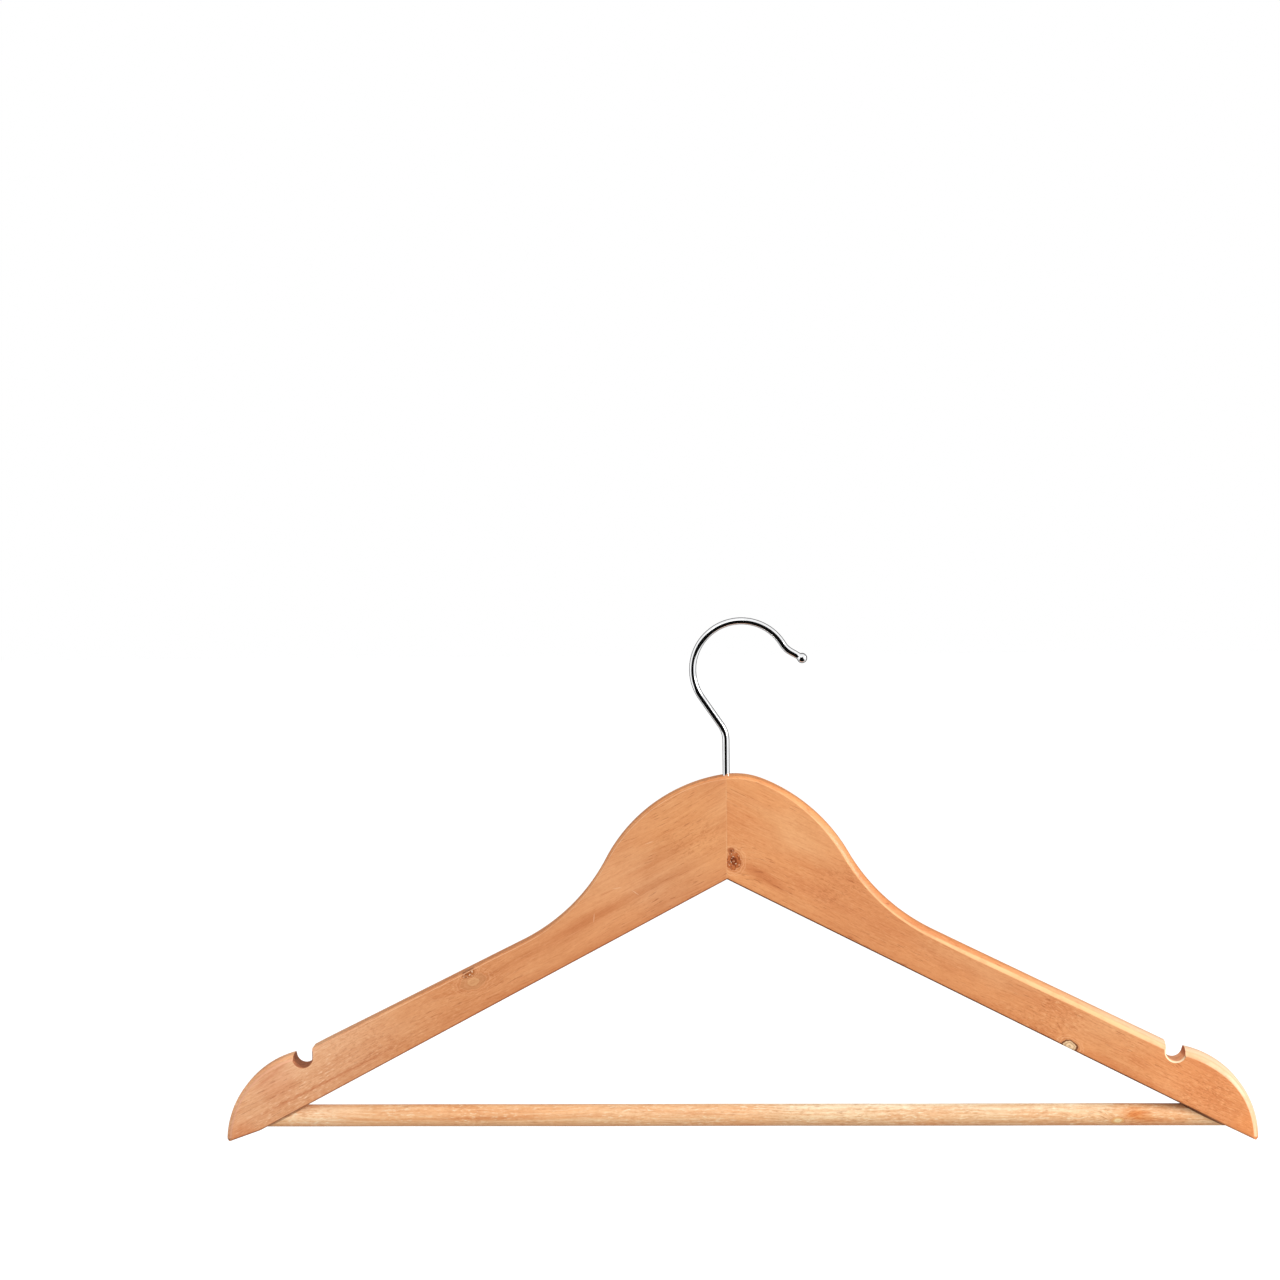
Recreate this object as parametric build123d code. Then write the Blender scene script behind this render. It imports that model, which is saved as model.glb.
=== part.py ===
from build123d import *
from dataclasses import dataclass
from math import asin, cos, radians, sin, sqrt, tan
import os

# A flat wooden clothes hanger with a trouser bar and a swivelling chrome wire hook.
# Millimetres. The origin is the rail seat, the inner top of the hook's crown.
# X runs along the bar, Y through the thickness (the front face is at -Y), Z is up.

# Wooden frame
SPAN = 445.0                # tip to tip
MID_SPAN_X = -2.4           # middle of the span, which hangs almost under the rail seat
THICKNESS = 12.0
JOINT_X = -6.8              # glue line between the two arms, and the hook's shank
APEX_Z = -109.0             # inner corner under the glue line
TIP_Z = -223.3
CROWN_RADIUS = 32.0         # short arc over the glue line
END_RADIUS = 40.0           # rounded outer end of each arm
TIP_RUN = 15.0              # the lower edge turns flatter this far before each tip
TOP_ROUNDOVER = 2.5
LOWER_EASING = 0.6

# Finger joint: two fingers side by side between two plain cheeks
FINGER_LENGTH = 6.0
FINGER_THICKNESS = 3.5

# Strap notches, cut straight down with a round-ended cutter
NOTCH_RADIUS = 4.2
NOTCH_CENTRE_DEPTH = 1.9    # centre of the round bottom below the shoulder line

# Trouser bar, glued in blind holes and held by a brad at each end
BAR_RADIUS = 4.75
BAR_Z = -212.7
BAR_HOLE_RADIUS = 4.8
BAR_END_INSET = 10.8        # end of the bar, in from the tip
BAR_END_CHAMFER = 0.6
BRAD_INSET = 17.5           # brad, in from the tip
BRAD_RADIUS = 0.6
BRAD_HEAD_RADIUS = 1.0
BRAD_HEAD_THICKNESS = 0.5
BRAD_SET = 0.3              # the head sits this far below the back face
BRAD_TIP_Y = -2.5
BRAD_PILOT_RADIUS = 0.55

# Hook wire
WIRE_RADIUS = 1.5
CROWN_CENTRELINE_RADIUS = 20.8
CROWN_END_ANGLE = 31.0      # above horizontal, where the crown turns into the nose
LEG_ANGLE = 34.5            # of the slanted leg from vertical
SHANK_BEND_RADIUS = 12.0
NOSE_BEND_RADIUS = 9.0
NOSE_ANGLE = 30.0           # of the nose below horizontal
NOSE_LENGTH = 5.7
BALL_RADIUS = 2.2
SHANK_CLEARANCE = 0.075     # radial, in the wood's bore

# Nut and washer under the hook, in a counterbore that opens at the apex
COUNTERBORE_RADIUS = 4.0
COUNTERBORE_TOP_Z = -94.0
WASHER_RADIUS = 3.5
WASHER_HOLE_RADIUS = 1.6
WASHER_THICKNESS = 0.5
NUT_ACROSS_FLATS = 5.5
NUT_HEIGHT = 2.4
NUT_CHAMFER = 0.25
NUT_BORE_RADIUS = 1.45      # bites into the wire's tail, as its thread does
TAIL_BELOW_NUT = 1.6
TAIL_CHAMFER = 0.4

CUT_MARGIN = 5.0            # how far a cutting shape runs on past the wood
SAME_PLACE = 0.001          # points closer than this are the same point


@dataclass
class ArmShape:
    """One arm's profile. Distances run outward from the glue line; heights are Z."""

    side: int               # -1 for the left arm, 1 for the right arm
    bulge_radius: float     # convex arc beside the hook
    bulge_setback: float    # its centre lies this far across the glue line
    bulge_z: float
    waist_radius: float     # concave arc between the bulge and the shoulder
    shoulder_angle: float   # slope of the shoulder, in degrees
    shoulder_z: float       # where the shoulder line would meet the glue line
    lower_angle: float      # slope of the lower edge, in degrees
    notch_reach: float      # strap notch from the glue line

    def reach(self):
        return SPAN / 2 + self.side * (MID_SPAN_X - JOINT_X)

    def at(self, out, z):
        return Vector(JOINT_X + self.side * out, 0, z)

    def shoulder_height(self, out):
        return self.shoulder_z - out * tan(radians(self.shoulder_angle))

    def lower_height(self, out):
        return APEX_Z - out * tan(radians(self.lower_angle))

    def bulge_centre(self):
        return self.at(-self.bulge_setback, self.bulge_z)

    def waist(self):
        """Centre of the waist arc, and where it meets the bulge and the shoulder."""
        slope = radians(self.shoulder_angle)
        along = Vector(self.side * cos(slope), 0, -sin(slope))
        up = Vector(self.side * sin(slope), 0, cos(slope))
        start = self.at(0, self.shoulder_z) + up * self.waist_radius
        gap = start - self.bulge_centre()
        reach = self.bulge_radius + self.waist_radius
        half = gap.dot(along)
        run = -half + sqrt(half**2 - gap.dot(gap) + reach**2)
        centre = start + along * run
        on_bulge = self.bulge_centre() + (centre - self.bulge_centre()) * (self.bulge_radius / reach)
        return centre, on_bulge, centre - up * self.waist_radius


LEFT = ArmShape(-1, 69.5, 9.2, -133.5, 82.7, 26.5, -92.3, 28.2, 184.1)
RIGHT = ArmShape(1, 73.3, 11.4, -134.8, 84.3, 26.0, -89.0, 26.8, 191.2)


def arc(centre, start, end):
    """The short arc about a centre from one point to another."""
    radius = (start - centre).length
    middle = centre + ((start - centre) + (end - centre)).normalized() * radius
    return ThreePointArc(start, middle, end)


def crown_centre():
    """Centre of the crown arc, which touches both bulges from inside."""
    a, b = LEFT.bulge_centre(), RIGHT.bulge_centre()
    to_a = LEFT.bulge_radius - CROWN_RADIUS
    to_b = RIGHT.bulge_radius - CROWN_RADIUS
    apart = b - a
    share = (to_a**2 - to_b**2 + apart.length**2) / (2 * apart.length)
    foot = a + apart.normalized() * share
    upward = Vector(-apart.Z, 0, apart.X).normalized()
    if upward.Z < 0:
        upward = upward * -1
    return foot + upward * sqrt(to_a**2 - share**2)


def crown_touch(shape):
    """Where the crown arc meets an arm's bulge."""
    out = (crown_centre() - shape.bulge_centre()).normalized()
    return shape.bulge_centre() + out * shape.bulge_radius


def end_arc(shape):
    """The rounded outer end, from the strap notch down to the tip."""
    start = shape.at(shape.notch_reach, shape.shoulder_height(shape.notch_reach))
    tip = shape.at(shape.reach(), TIP_Z)
    chord = tip - start
    half_turn = asin(chord.length / 2 / END_RADIUS)
    bulge = END_RADIUS * (1 - cos(half_turn))
    outward = Vector(-shape.side * chord.Z, 0, shape.side * chord.X).normalized()
    return ThreePointArc(start, start + chord * 0.5 + outward * bulge, tip)


def upper_edges(shape):
    """Bulge, waist, shoulder and outer end of one arm, from the crown to the tip."""
    waist_centre, on_bulge, on_shoulder = shape.waist()
    end = end_arc(shape)
    return [
        arc(shape.bulge_centre(), crown_touch(shape), on_bulge),
        arc(waist_centre, on_bulge, on_shoulder),
        Line(on_shoulder, end @ 0),
        end,
    ]


def lower_edges(shape):
    """The lower edge of one arm, from the apex to the tip."""
    turn = shape.reach() - TIP_RUN
    corner = shape.at(turn, shape.lower_height(turn))
    return [
        Line(shape.at(0, APEX_Z), corner),
        Line(corner, shape.at(shape.reach(), TIP_Z)),
    ]


def rims(solid, outline):
    """The solid's front and back edges that follow the edges of an outline."""
    found = []
    for edge in solid.edges():
        middle = edge @ 0.5
        flat = Vector(middle.X, 0, middle.Z)
        if abs(abs(middle.Y) - THICKNESS / 2) < SAME_PLACE:
            if any((flat - wanted @ 0.5).length < SAME_PLACE for wanted in outline):
                found.append(edge)
    return found


def rod(radius, start, end):
    """A cylinder between two points."""
    along = end - start
    place = Plane(origin=start, z_dir=along.normalized())
    return extrude(place * Circle(radius), amount=along.length)


def notch_cut(shape):
    """The strap notch, open at the top."""
    out = shape.notch_reach
    bottom = shape.at(out, shape.shoulder_height(out) - NOTCH_CENTRE_DEPTH)
    through = Vector(0, THICKNESS / 2 + CUT_MARGIN, 0)
    round_bottom = rod(NOTCH_RADIUS, bottom - through, bottom + through)
    rise = NOTCH_CENTRE_DEPTH + NOTCH_RADIUS + CUT_MARGIN
    slot = Pos(bottom.X, 0, bottom.Z + rise / 2) * Box(2 * NOTCH_RADIUS, 2 * through.Y, rise)
    return round_bottom + slot


def bar_end(shape):
    """Centre of the bar's end face, which is also the bottom of its blind hole."""
    return shape.at(shape.reach() - BAR_END_INSET, BAR_Z)


def bar_hole_cut(shape):
    inner_end = shape.at(shape.reach() / 2, BAR_Z)
    return rod(BAR_HOLE_RADIUS, inner_end, bar_end(shape))


def brad_cut(shape, depth_y):
    """Pilot hole and head recess for a brad, from behind the back face in to depth_y."""
    place = shape.at(shape.reach() - BRAD_INSET, BAR_Z)
    back = place + Vector(0, THICKNESS / 2, 0)
    head_seat = back - Vector(0, BRAD_SET + BRAD_HEAD_THICKNESS, 0)
    pilot = rod(BRAD_PILOT_RADIUS, place + Vector(0, depth_y, 0), back)
    return pilot + rod(BRAD_HEAD_RADIUS, head_seat, back + Vector(0, CUT_MARGIN, 0))


def shank_point(z):
    return Vector(JOINT_X, 0, z)


def yoke():
    """Both arms as one glued, shaped and drilled piece, before it is told apart."""
    crown = arc(crown_centre(), crown_touch(LEFT), crown_touch(RIGHT))
    top = upper_edges(LEFT) + [crown] + upper_edges(RIGHT)
    bottom = lower_edges(LEFT) + lower_edges(RIGHT)
    profile = make_face(top + bottom)
    solid = extrude(profile, amount=THICKNESS / 2, dir=(0, 1, 0), both=True)
    solid = fillet(rims(solid, top), TOP_ROUNDOVER)
    solid = fillet(rims(solid, bottom), LOWER_EASING)
    for shape in (LEFT, RIGHT):
        solid -= notch_cut(shape)
        solid -= bar_hole_cut(shape)
        solid -= brad_cut(shape, 0)
    below = shank_point(APEX_Z - CUT_MARGIN)
    solid -= rod(WIRE_RADIUS + SHANK_CLEARANCE, below, shank_point(0))
    solid -= rod(COUNTERBORE_RADIUS, below, shank_point(COUNTERBORE_TOP_Z))
    return solid


def left_zone():
    """Everything on the left arm's side of the finger joint."""
    low, high = TIP_Z - CUT_MARGIN, 0

    def layer(y_low, y_high, x_high):
        size = (SPAN, y_high - y_low, high - low)
        centre = (x_high - size[0] / 2, (y_low + y_high) / 2, (low + high) / 2)
        return Pos(*centre) * Box(*size)

    zone = layer(-THICKNESS, -FINGER_THICKNESS, JOINT_X)
    zone += layer(-FINGER_THICKNESS, 0, JOINT_X + FINGER_LENGTH)
    zone += layer(0, FINGER_THICKNESS, JOINT_X - FINGER_LENGTH)
    zone += layer(FINGER_THICKNESS, THICKNESS, JOINT_X)
    return zone


def trouser_bar():
    bar = rod(BAR_RADIUS, bar_end(LEFT), bar_end(RIGHT))
    ends = bar.edges().filter_by(GeomType.CIRCLE)
    bar = chamfer(ends, BAR_END_CHAMFER)
    for shape in (LEFT, RIGHT):
        bar -= brad_cut(shape, BRAD_TIP_Y)
    return bar


def brad(shape):
    """A small headed nail, from the back face through the bar."""
    place = shape.at(shape.reach() - BRAD_INSET, BAR_Z)
    head_top = place + Vector(0, THICKNESS / 2 - BRAD_SET, 0)
    head_seat = head_top - Vector(0, BRAD_HEAD_THICKNESS, 0)
    shank = rod(BRAD_RADIUS, place + Vector(0, BRAD_TIP_Y, 0), head_seat)
    return shank + rod(BRAD_HEAD_RADIUS, head_seat, head_top)


def tail_z():
    """Lower end of the hook's wire."""
    return COUNTERBORE_TOP_Z - WASHER_THICKNESS - NUT_HEIGHT - TAIL_BELOW_NUT


def hook_path():
    """The wire's centreline, from its lower end up the shank, round the crown to the ball."""
    centre = Vector(0, 0, WIRE_RADIUS - CROWN_CENTRELINE_RADIUS)
    lean = radians(LEG_ANGLE)
    leg_top = centre + Vector(-cos(lean), 0, -sin(lean)) * CROWN_CENTRELINE_RADIUS
    leg_run = (JOINT_X - leg_top.X) / sin(lean)
    down_leg = Vector(sin(lean), 0, -cos(lean))
    corner = leg_top + down_leg * leg_run
    bend_reach = SHANK_BEND_RADIUS * tan(lean / 2)
    shank_top = corner - Vector(0, 0, bend_reach)
    leg_low = corner - down_leg * bend_reach
    bend_centre = shank_top - Vector(SHANK_BEND_RADIUS, 0, 0)

    rise = radians(CROWN_END_ANGLE)
    crown_out = Vector(cos(rise), 0, sin(rise))
    crown_end = centre + crown_out * CROWN_CENTRELINE_RADIUS
    nose_centre = crown_end + crown_out * NOSE_BEND_RADIUS
    droop = radians(NOSE_ANGLE)
    nose_along = Vector(cos(droop), 0, -sin(droop))
    nose_start = nose_centre + Vector(-sin(droop), 0, -cos(droop)) * NOSE_BEND_RADIUS
    crown_top = centre + Vector(0, 0, CROWN_CENTRELINE_RADIUS)
    return Wire([
        Line(shank_point(tail_z()), shank_top),
        arc(bend_centre, shank_top, leg_low),
        Line(leg_low, leg_top),
        arc(centre, leg_top, crown_top),
        arc(centre, crown_top, crown_end),
        arc(nose_centre, crown_end, nose_start),
        Line(nose_start, nose_start + nose_along * NOSE_LENGTH),
    ])


def swivel_hook():
    path = hook_path()
    section = Plane(origin=path @ 0, z_dir=path % 0) * Circle(WIRE_RADIUS)
    wire = sweep(section, path=path)
    tail = wire.edges().filter_by(GeomType.CIRCLE).sort_by(Axis.Z)[0]
    wire = chamfer(tail, TAIL_CHAMFER)
    ball_centre = path @ 1
    return wire + Pos(*ball_centre) * Sphere(BALL_RADIUS)


def hook_washer():
    top = shank_point(COUNTERBORE_TOP_Z)
    low = top - Vector(0, 0, WASHER_THICKNESS)
    return rod(WASHER_RADIUS, low, top) - rod(WASHER_HOLE_RADIUS, low, top)


def hook_nut():
    top = shank_point(COUNTERBORE_TOP_Z - WASHER_THICKNESS)
    low = top - Vector(0, 0, NUT_HEIGHT)
    place = Plane(origin=low, x_dir=(1, 0, 0), z_dir=(0, 0, 1))
    corner_radius = NUT_ACROSS_FLATS / 2 / cos(radians(30))
    hexagon = extrude(place * RegularPolygon(corner_radius, 6), amount=NUT_HEIGHT)
    dome = rod(corner_radius, low, top)
    dome = chamfer(dome.edges().filter_by(GeomType.CIRCLE), NUT_CHAMFER)
    return (hexagon & dome) - rod(NUT_BORE_RADIUS, low, top)


def write(node, shape):
    """Writes one sub-part, as a single solid."""
    solids = shape.solids()
    assert len(solids) == 1, (node, len(solids))
    shape = solids[0]
    shape.label = node
    export_step(shape, os.path.join("parts", node + ".step"))


os.makedirs("parts", exist_ok=True)
blank = yoke()
write("arm_left", blank & left_zone())
write("arm_right", blank - left_zone())
write("trouser_bar", trouser_bar())
write("bar_pin_left", brad(LEFT))
write("bar_pin_right", brad(RIGHT))
write("swivel_hook", swivel_hook())
write("hook_washer", hook_washer())
write("hook_nut", hook_nut())
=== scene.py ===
import bpy
import bmesh
import numpy as np
from dataclasses import dataclass
from math import acos, asin, atan2, ceil, cos, hypot, pi, radians, sin, sqrt, tan
from mathutils import Matrix, Vector


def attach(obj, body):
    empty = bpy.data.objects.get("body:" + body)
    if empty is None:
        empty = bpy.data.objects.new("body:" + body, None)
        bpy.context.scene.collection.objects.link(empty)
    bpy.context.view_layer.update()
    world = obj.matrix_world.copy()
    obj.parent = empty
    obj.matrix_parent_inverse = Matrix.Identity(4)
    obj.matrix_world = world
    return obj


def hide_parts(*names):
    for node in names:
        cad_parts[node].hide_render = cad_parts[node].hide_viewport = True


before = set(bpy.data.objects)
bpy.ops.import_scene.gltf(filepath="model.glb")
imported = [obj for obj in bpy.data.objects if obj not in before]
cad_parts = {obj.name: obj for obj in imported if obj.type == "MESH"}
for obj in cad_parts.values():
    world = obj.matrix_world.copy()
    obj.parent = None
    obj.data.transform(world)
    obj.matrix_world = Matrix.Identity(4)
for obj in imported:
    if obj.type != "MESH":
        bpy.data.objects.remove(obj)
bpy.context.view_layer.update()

# A flat wooden clothes hanger with a trouser bar and a swivelling chrome wire hook.
# Blender works in metres. The shapes below are worked out in millimetres, in the CAD
# model's frame: the rail seat is the origin, -Y is the front face and Z is up.

MM = 0.001


def linked(name, data):
    """A new object in the scene."""
    obj = bpy.data.objects.new(name, data)
    bpy.context.scene.collection.objects.link(obj)
    return obj


# ---------------------------------------------------------------- camera
def make_camera():
    data = bpy.data.cameras.new("camera")
    data.lens = 76.5
    data.sensor_width = 36
    camera = linked("camera", data)
    place = Vector((-0.0010, -1.160, 0.0774))
    aim = Vector((-0.0432, 0.0, -0.00635))
    roll = -0.01028             # radians
    look = (aim - place).normalized()
    right = look.cross(Vector((0, 0, 1))).normalized()
    up = right.cross(look)
    right, up = right * cos(roll) + up * sin(roll), up * cos(roll) - right * sin(roll)
    matrix = Matrix((right, up, -look)).transposed().to_4x4()
    matrix.translation = place
    camera.matrix_world = matrix
    bpy.context.scene.camera = camera
    bpy.context.scene.view_settings.view_transform = "Standard"


make_camera()

# ---------------------------------------------------------------- sizes, as in the CAD model
SPAN = 445.0
MID_SPAN_X = -2.4
HALF_THICKNESS = 6.0
JOINT_X = -6.8              # glue line, and the hook's shank
APEX_Z = -109.0             # inner corner under the glue line
TIP_Z = -223.3
CROWN_RADIUS = 32.0
END_RADIUS = 40.0
TIP_RUN = 15.0              # the lower edge turns flatter this far before each tip
FINGER_LENGTH = 6.0
FINGER_THICKNESS = 3.5
NOTCH_RADIUS = 4.2
NOTCH_CENTRE_DEPTH = 1.9
BAR_RADIUS = 4.75
BAR_Z = -212.7
BAR_END_INSET = 10.8
BAR_END_CHAMFER = 0.6
BRAD_INSET = 17.5
WIRE_RADIUS = 1.5
CROWN_CENTRELINE_RADIUS = 20.8
CROWN_END_ANGLE = 31.0
LEG_ANGLE = 34.5
SHANK_BEND_RADIUS = 12.0
NOSE_BEND_RADIUS = 9.0
NOSE_ANGLE = 30.0
NOSE_LENGTH = 5.7
BALL_RADIUS = 2.2
COUNTERBORE_RADIUS = 4.0
COUNTERBORE_TOP_Z = -94.0
TAIL_Z = -98.5              # end of the wire, below the nut
TAIL_CHAMFER = 0.4

# What hand sanding and drilling add
TIP_ROUNDING = 1.1
LOWER_EASING = 0.85
BAR_GAP = 0.2               # round the bar where it enters an arm
BRAD_RECESS_RADIUS = 1.05
BRAD_RECESS_Y = 5.2         # floor of the recess
SHANK_BORE_RADIUS = 1.62
CREASE = radians(21)        # the rounded top edge meets the face at this angle, in a crisp line
SEAM_DEPTH = 0.035
SEAM_HALF_WIDTH = 0.16


def unit(v):
    return v / hypot(*v)


def lengths(vectors):
    return np.sqrt((vectors**2).sum(1))


def arc_points(centre, start, end, step=0.5):
    """Points along the short arc about a centre, both ends included."""
    a = atan2(*(start - centre)[::-1])
    turn = (atan2(*(end - centre)[::-1]) - a + pi) % (2 * pi) - pi
    radius = hypot(*(start - centre))
    n = max(2, ceil(abs(turn) * radius / step))
    angles = a + turn * np.linspace(0, 1, n + 1)
    return centre + radius * np.stack((np.cos(angles), np.sin(angles)), 1)


@dataclass
class Arm:
    """One arm's profile in the X-Z plane. Distances run outward from the glue line."""

    side: int
    bulge_radius: float
    bulge_setback: float
    bulge_z: float
    waist_radius: float
    shoulder_angle: float
    shoulder_z: float
    lower_angle: float
    notch_reach: float

    def reach(self):
        return SPAN / 2 + self.side * (MID_SPAN_X - JOINT_X)

    def at(self, out, z):
        return np.array((JOINT_X + self.side * out, z))

    def shoulder_height(self, out):
        return self.shoulder_z - out * tan(radians(self.shoulder_angle))

    def lower_height(self, out):
        return APEX_Z - out * tan(radians(self.lower_angle))

    def bulge_centre(self):
        return self.at(-self.bulge_setback, self.bulge_z)

    def waist(self):
        """The waist arc's centre, and its ends on the bulge and on the shoulder."""
        slope = radians(self.shoulder_angle)
        along = np.array((self.side * cos(slope), -sin(slope)))
        up = np.array((self.side * sin(slope), cos(slope)))
        start = self.at(0, self.shoulder_z) + up * self.waist_radius
        gap = start - self.bulge_centre()
        reach = self.bulge_radius + self.waist_radius
        half = gap @ along
        centre = start + along * (-half + sqrt(half**2 - gap @ gap + reach**2))
        on_bulge = self.bulge_centre() + (centre - self.bulge_centre()) * (self.bulge_radius / reach)
        return centre, on_bulge, centre - up * self.waist_radius

    def upper(self):
        """The upper edge from the glue line's top to the tip."""
        crown = crown_centre()
        top = np.array((JOINT_X, crown[1] + sqrt(CROWN_RADIUS**2 - (JOINT_X - crown[0]) ** 2)))
        touch = self.bulge_centre() + unit(crown - self.bulge_centre()) * self.bulge_radius
        waist_centre, on_bulge, on_shoulder = self.waist()
        start = self.at(self.notch_reach, self.shoulder_height(self.notch_reach))
        tip = self.at(self.reach(), TIP_Z)
        chord = tip - start
        outward = unit(np.array((-self.side * chord[1], self.side * chord[0])))
        half_turn = asin(hypot(*chord) / 2 / END_RADIUS)
        end_centre = start + chord / 2 - outward * END_RADIUS * cos(half_turn)
        end = arc_points(end_centre, start, tip)
        return np.concatenate((
            arc_points(crown, top, touch)[:-1],
            arc_points(self.bulge_centre(), touch, on_bulge)[:-1],
            arc_points(waist_centre, on_bulge, on_shoulder)[:-1],
            np.linspace(on_shoulder, start, 200)[:-1],
            end,
        ))

    def lower(self):
        """The lower edge from the apex to the tip."""
        turn = self.reach() - TIP_RUN
        return np.array((
            self.at(0, APEX_Z),
            self.at(turn, self.lower_height(turn)),
            self.at(self.reach(), TIP_Z),
        ))

    def edges(self):
        """Both edges, with the sharp tip between them sanded to a small radius."""
        upper, lower = self.upper(), self.lower()
        tip = upper[-1]
        back_up, back_low = unit(upper[-4] - tip), unit(lower[-2] - tip)
        half = 0.5 * acos(back_up @ back_low)
        reach = TIP_ROUNDING / tan(half)
        inward = unit(back_up + back_low)
        centre = tip + inward * TIP_ROUNDING / sin(half)
        nose = centre - inward * TIP_ROUNDING
        kept = upper[lengths(upper - tip) > reach]
        on_upper, on_lower = tip + back_up * reach, tip + back_low * reach
        return (np.concatenate((kept, arc_points(centre, on_upper, nose, 0.1))),
                np.concatenate((lower[:-1], arc_points(centre, on_lower, nose, 0.1))))


LEFT = Arm(
    side=-1, bulge_radius=69.5, bulge_setback=9.2, bulge_z=-133.5, waist_radius=82.7,
    shoulder_angle=26.5, shoulder_z=-92.3, lower_angle=28.2, notch_reach=184.1,
)
RIGHT = Arm(
    side=1, bulge_radius=73.3, bulge_setback=11.4, bulge_z=-134.8, waist_radius=84.3,
    shoulder_angle=26.0, shoulder_z=-89.0, lower_angle=26.8, notch_reach=191.2,
)


def crown_centre():
    """Centre of the crown arc, which touches both bulges from inside."""
    a, b = LEFT.bulge_centre(), RIGHT.bulge_centre()
    to_a = LEFT.bulge_radius - CROWN_RADIUS
    to_b = RIGHT.bulge_radius - CROWN_RADIUS
    apart = b - a
    length = hypot(*apart)
    share = (to_a**2 - to_b**2 + length**2) / (2 * length)
    along = apart / length
    upward = np.array((-along[1], along[0])) * (1 if along[0] > 0 else -1)
    return a + along * share + upward * sqrt(to_a**2 - share**2)


# ---------------------------------------------------------------- mesh helpers
def mesh_object(name, points, faces):
    """A new mesh object from points in millimetres, with doubles merged and normals outward."""
    mesh = bpy.data.meshes.new(name)
    mesh.from_pydata([tuple(p) for p in np.asarray(points, float) * MM], [], faces)
    bm = bmesh.new()
    bm.from_mesh(mesh)
    bmesh.ops.remove_doubles(bm, verts=bm.verts, dist=1e-7)
    bmesh.ops.dissolve_degenerate(bm, edges=bm.edges, dist=1e-7)
    bmesh.ops.recalc_face_normals(bm, faces=bm.faces)
    bm.to_mesh(mesh)
    bm.free()
    return linked(name, mesh)


def shade(obj, angle=32):
    """Smooth shading, except over edges sharper than an angle in degrees."""
    obj.data.shade_smooth()
    obj.data.set_sharp_from_angle(angle=radians(angle))


def boolean(obj, cutter, operation, copy_as=None):
    """Applies a boolean with a cutter to obj, or to a copy of it under a new name."""
    if copy_as:
        obj = linked(copy_as, obj.data.copy())
    modifier = obj.modifiers.new("cut", "BOOLEAN")
    modifier.operation = operation
    modifier.object = cutter
    modifier.solver = "EXACT"
    modifier.material_mode = "TRANSFER"
    depsgraph = bpy.context.evaluated_depsgraph_get()
    depsgraph.update()
    mesh = bpy.data.meshes.new_from_object(obj.evaluated_get(depsgraph))
    obj.modifiers.clear()
    old = obj.data
    obj.data = mesh
    bpy.data.meshes.remove(old)
    mesh.name = obj.name
    return obj


def rings_mesh(name, rings):
    """A tube of quads through rings of equal length, with closed ends."""
    n = len(rings[0])
    points = np.concatenate(rings)
    faces = []
    for k in range(len(rings) - 1):
        a, b = k * n, (k + 1) * n
        faces += [(a + i, a + (i + 1) % n, b + (i + 1) % n, b + i) for i in range(n)]
    faces.append(tuple(range(n)))
    faces.append(tuple(range((len(rings) - 1) * n, len(rings) * n)))
    return mesh_object(name, points, faces)


def joined(name, objects):
    """One object from several, which are removed."""
    bm = bmesh.new()
    for obj in objects:
        bm.from_mesh(obj.data)
        bpy.data.objects.remove(obj)
    mesh = bpy.data.meshes.new(name)
    bm.to_mesh(mesh)
    bm.free()
    return linked(name, mesh)


# ---------------------------------------------------------------- wooden arms
def distance_to(polyline, points, batch=4000):
    """Distance from each point to a polyline, in two dimensions."""
    a, b = polyline[:-1], polyline[1:]
    run = b - a
    length2 = (run**2).sum(1)
    best = np.empty(len(points))
    for first in range(0, len(points), batch):
        p = points[first:first + batch, None, :]
        t = np.clip(((p - a) * run).sum(2) / length2, 0, 1)
        gap = p - (a + t[..., None] * run)
        best[first:first + batch] = np.sqrt((gap**2).sum(2)).min(1)
    return best


def along_polyline(polyline, shares):
    """Points at shares, from 0 to 1, of a polyline's length."""
    total = np.concatenate(((0,), np.cumsum(lengths(np.diff(polyline, axis=0)))))
    distances = np.clip(shares, 0, 1) * total[-1]
    return np.stack([np.interp(distances, total, polyline[:, i]) for i in (0, 1)], 1)


def smoothstep(low, high, x):
    t = np.clip((x - low) / (high - low), 0, 1)
    return t * t * (3 - 2 * t)


def roundover(x):
    """How far in from the outline the rounded top edge reaches: more on the right arm."""
    reach = 0.75
    # From one place along X to another, the reach changes by so much
    for low, high, change in (
        (-66, -44, 0.5), (-4, 48, 1.45), (60, 100, 0.4), (182, 198, 0.2), (202, 218, -0.8),
        (-180, -196, 1.5),
    ):
        reach = reach + change * smoothstep(low, high, x)
    return reach + 0.07 * np.sin(x / 13.0) + 0.05 * np.sin(x / 5.1 + 1.3)


def inset(distance, reach, crease=0.0):
    """How far a rounded edge lowers the face, at a distance from the edge."""
    radius = reach / (1 - sin(crease))
    drop = radius * cos(crease)
    arc = np.sqrt(np.maximum(radius**2 - (radius - distance) ** 2, 0))
    return np.where(distance < reach, drop - arc, 0)


# Knots and small dents in the front face: centre in X-Z, radius, depth of the pit
PITS = (
    (-3.9, -100.6, 2.6, 0.22),
    (-2.6, -104.2, 1.7, 0.16),
    (-118.3, -148.6, 2.2, 0.16),
    (140.6, -180.8, 1.8, 0.12),
)


def sanded(x, z):
    """Small unevenness of a hand-sanded face, in millimetres."""
    long_waves = 0.035 * np.sin(x / 21.0 + z / 34.0)
    waves = 0.02 * np.sin(x / 9.0 - z / 13.0 + 1.0)
    ripples = 0.012 * np.sin(x / 4.3 + z / 7.9 + 2.2)
    return long_waves + waves + ripples


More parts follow.
